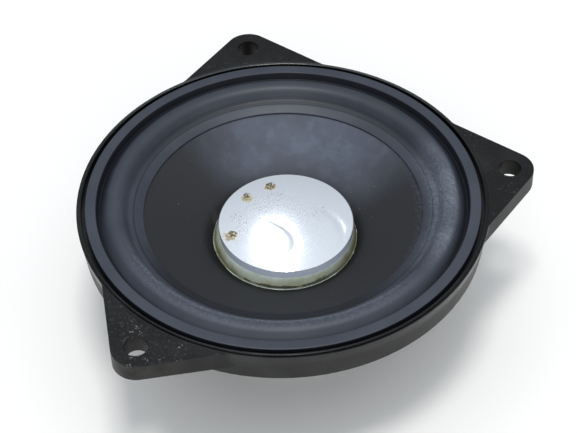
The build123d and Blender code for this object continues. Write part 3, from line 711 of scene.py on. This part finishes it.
# ---- dust cap and its glue ------------------------------------------------------------------------
CAP_RIM = -8.65             # where the dome meets the rounded rim
CAP_RISE = 0.45
CAP_ROUND = 0.5
CAP_T = 0.3
DOME_STEPS = 60
INNER_DOME_STRIDE = 6       # the dome's hidden face takes every sixth point of its front
CREASE_DEPTH, CREASE_WIDTH = 0.050, 0.95
DENT_DEPTH, DENT_WIDTH = 0.13, 1.1
CONE_SLOPE = 0.59           # fall of the cone per unit of radius, going inwards
CONE_POINT = (35.4, -4.1)   # a point on the cone's front, as radius and height
GLUE_ON_CONE = 0.03         # how far the glue's underside lies above the cone
GLUE_UNEVEN = 0.3           # scale of its foot's wandering in and out
GLUE_INSET = 0.35           # from the bead's own box to the middle of that wandering


def cap_axes():
    """Centre of the dust cap, its radius in millimetres and its foot's z in metres, from its own box."""
    low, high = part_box("dust_cap")
    return Vector(((low.x + high.x) / 2, (low.y + high.y) / 2, 0)), (high.x - low.x) / 2 / MM, low.z


def add_cap():
    """Shallow pressed dome: a tight rim, a long shallow crease across its middle, a dent near one edge."""
    centre, radius, foot_z = cap_axes()
    foot = (foot_z - EAR_PLANE) / MM
    shoulder = radius - CAP_ROUND
    shares = [n / DOME_STEPS for n in range(DOME_STEPS + 1)]
    dome = [Vector((shoulder * share, CAP_RIM + CAP_RISE * (1 - share ** 2))) for share in shares]
    rim = softened([dome[-1], (radius, CAP_RIM - 0.02), (radius, foot)], (CAP_ROUND,), steps=10)
    inside, ceiling = radius - CAP_T, CAP_RIM - CAP_T
    inner_corner = [(inside, foot), (inside, ceiling), (shoulder - CAP_T, ceiling)]
    inner_rim = softened(inner_corner, (CAP_ROUND / 2,), steps=4)
    inner = [Vector((p.x, p.y - CAP_T)) for p in reversed(dome[::INNER_DOME_STRIDE])]
    work = spun(dome + rim[1:] + inner_rim[:-1] + inner[1:], CAP_TURN_STEPS, closed=False)
    for vertex in work.verts:
        right, far = vertex.co.dot(ACROSS) / MM, vertex.co.dot(AWAY) / MM
        on_dome = max(0.0, 1 - (hypot(right, far) / shoulder) ** 8)
        crease_line = 1.86 - 0.313 * (far + 6) - 0.1 * (far + 6) ** 2
        crease = CREASE_DEPTH * exp(-((right - crease_line) / CREASE_WIDTH) ** 2
                                    - ((far + 5.5) / 5.5) ** 4)
        dent_line = 14.3 - 0.07 * (far + 4.0) ** 2
        dent = DENT_DEPTH * exp(-((right - dent_line) / DENT_WIDTH) ** 2
                                - ((far + 3.5) / 4.6) ** 2)
        vertex.co.z -= (crease + dent) * on_dome * MM
        vertex.co += centre
    shell = finished("dust_cap_shell", work, crease=50)
    cap = dress(shell, silver_cap(centre), "cap_silver", "dust_cap")
    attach(cap, "diaphragm")


def add_cap_glue():
    """Uneven fillet between skirt and cone, with a thin dried hem around its foot and a chip out of it."""
    low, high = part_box("cap_glue_bead")
    cap_centre, skirt, _ = cap_axes()
    ring = (low + high) / 2
    reach = (high.x - low.x) / 2 / MM - GLUE_INSET
    foot = CONE_POINT[1] - (CONE_POINT[0] - reach) * CONE_SLOPE + GLUE_ON_CONE
    wall = skirt - 0.12
    underside = [(wall, foot - (reach - wall) * CONE_SLOPE), (reach, foot)]
    top = [(reach - 0.1, foot + 0.12), (reach - 0.38, foot + 0.1), (skirt + 0.95, foot + 0.75),
           (skirt + 0.3, -11.6), (skirt + 0.02, -11.0), (wall, -11.0)]
    outline = softened(underside + top, (0, 0.05, 0.05, 0.4, 0.5, 0.2))
    piece = finished("cap_glue", spun(outline, CAP_TURN_STEPS))
    for vertex in piece.data.vertices:
        angle = atan2(vertex.co.y, vertex.co.x)
        where = Vector((cos(angle), sin(angle), 0))
        out = max((hypot(vertex.co.x, vertex.co.y) / MM - skirt) / (reach - skirt), 0)
        wobble = noise.noise(where * 4.0) * 0.5 + noise.noise(where * 13.0) * 0.3
        vertex.co += cap_centre.lerp(Vector((ring.x, ring.y, 0)), min(out, 1))
        vertex.co += where * wobble * out * GLUE_UNEVEN * MM
        vertex.co.z += wobble * out * 0.10 * MM
    dress(piece, aged_glue(Vector((ring.x, ring.y, 0)), reach * MM), "glue_amber", "cap_glue_bead")
    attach(piece, "diaphragm")


# ---- leads --------------------------------------------------------------------------------------
LEAD_ROUTE = (              # x on the positive side, y, height above the ear plane, millimetres
    (7.2, 43.5, -14.4),
    (7.3, 39.5, -13.7),
    (7.9, 35.6, -14.8),
    (7.6, 31.8, -16.2),
    (6.9, 28.2, -15.9),
    (6.2, 25.2, -14.6),
    (5.5, 22.2, -12.9),
)
LEAD_R = 0.5
LEAD_SIDES = 20


def lead_centreline(name, side):
    """Smooth line through the lead's route, as points."""
    curve = bpy.data.curves.new(name, "CURVE")
    curve.dimensions = "3D"
    spline = curve.splines.new("NURBS")
    spline.points.add(len(LEAD_ROUTE) - 1)
    for point, (x, y, height) in zip(spline.points, LEAD_ROUTE):
        point.co = (side * x * MM, y * MM, EAR_PLANE + height * MM, 1)
    spline.order_u = 3
    spline.use_endpoint_u = True
    spline.resolution_u = 10
    holder = bpy.data.objects.new(name, curve)
    line = bpy.data.meshes.new_from_object(holder)
    points = [v.co.copy() for v in line.vertices]
    bpy.data.objects.remove(holder)
    return points


def add_lead(name, side, material):
    """A braided tube along the lead's line, with its length and turn kept as attributes for the braid."""
    points = lead_centreline(name + "_line", side)
    turns = [FULL_TURN * k / LEAD_SIDES for k in range(LEAD_SIDES)]
    work = bmesh.new()
    rings, lengths = [], []
    travelled = 0.0
    for n, point in enumerate(points):
        ahead = points[min(n + 1, len(points) - 1)] - points[max(n - 1, 0)]
        across = ahead.cross(Vector((0, 0, 1))).normalized()
        up = across.cross(ahead).normalized()
        travelled += (point - points[n - 1]).length if n else 0.0
        lengths.append(travelled)
        rings.append([work.verts.new(point + LEAD_R * MM * (cos(turn) * across + sin(turn) * up))
                      for turn in turns])
    loops = [[work.edges.new(pair) for pair in zip(ring, ring[1:] + ring[:1])] for ring in rings]
    for one, two in zip(loops, loops[1:]):
        bmesh.ops.bridge_loops(work, edges=one + two)
    for ring in (rings[0], rings[-1]):
        work.faces.new(ring)
    piece = finished(name, work, crease=60)
    along = piece.data.attributes.new("along", "FLOAT", "POINT")
    around = piece.data.attributes.new("round", "FLOAT", "POINT")
    for n in range(len(piece.data.vertices)):
        along.data[n].value = lengths[n // LEAD_SIDES]
        around.data[n].value = (n % LEAD_SIDES) / LEAD_SIDES
    dress(piece, material, "tinsel_braid", name)
    piece.name = name + "_braid"
    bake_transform(piece)


# ---- carried-over nodes -------------------------------------------------------------------------
def paint_nodes(material, *nodes):
    for name in nodes:
        mesh = frame["nodes"][name].data
        mesh.materials.clear()
        mesh.materials.append(material)


def paint_everything():
    paint_nodes(moulded_black(), "basket")
    paint_nodes(cone_pulp(), "cone")
    paint_nodes(drawn_aluminium(), "voice_coil_former")
    paint_nodes(enamelled_copper(), "voice_coil_winding", "coil_leadouts")
    paint_nodes(kraft_paper(), "former_collar")
    paint_nodes(black_cement(), "neck_glue_bead", "spider_glue_bead", "spider_bond_ring",
                "lead_glue_dots", "magnet_glue_rear", "magnet_glue_front")
    paint_nodes(turned_steel(), "t_yoke", "top_plate")
    paint_nodes(ground_ferrite(), "magnet")
    paint_nodes(metal("blackened_steel", rgb(0.06, 0.06, 0.062), rgb(0.13, 0.13, 0.135),
                      0.55, 0.32, 1 * MM, 0.01 * MM), "plate_screws")
    paint_nodes(metal("tinned_brass", rgb(0.52, 0.50, 0.46), rgb(0.68, 0.67, 0.64),
                      0.45, 0.25, 2 * MM, 0.01 * MM), "terminal_tag_positive", "terminal_tag_negative")
    paint_nodes(metal("yellow_brass", rgb(0.50, 0.34, 0.13), rgb(0.68, 0.50, 0.22),
                      0.45, 0.25, 1 * MM, 0.01 * MM), "terminal_rivets")
    paint_nodes(metal("soft_solder", rgb(0.42, 0.42, 0.43), rgb(0.62, 0.62, 0.63),
                      0.5, 0.3, 0.8 * MM, 0.04 * MM), "terminal_solder")
    paint_nodes(phenolic_board(), "terminal_board")


add_camera()
add_studio()
add_floor()
paint_everything()
add_surround()
add_spider()
add_cap()
add_cap_glue()
tinsel = braided_tinsel()
add_lead("tinsel_lead_positive", 1, tinsel)
add_lead("tinsel_lead_negative", -1, tinsel)
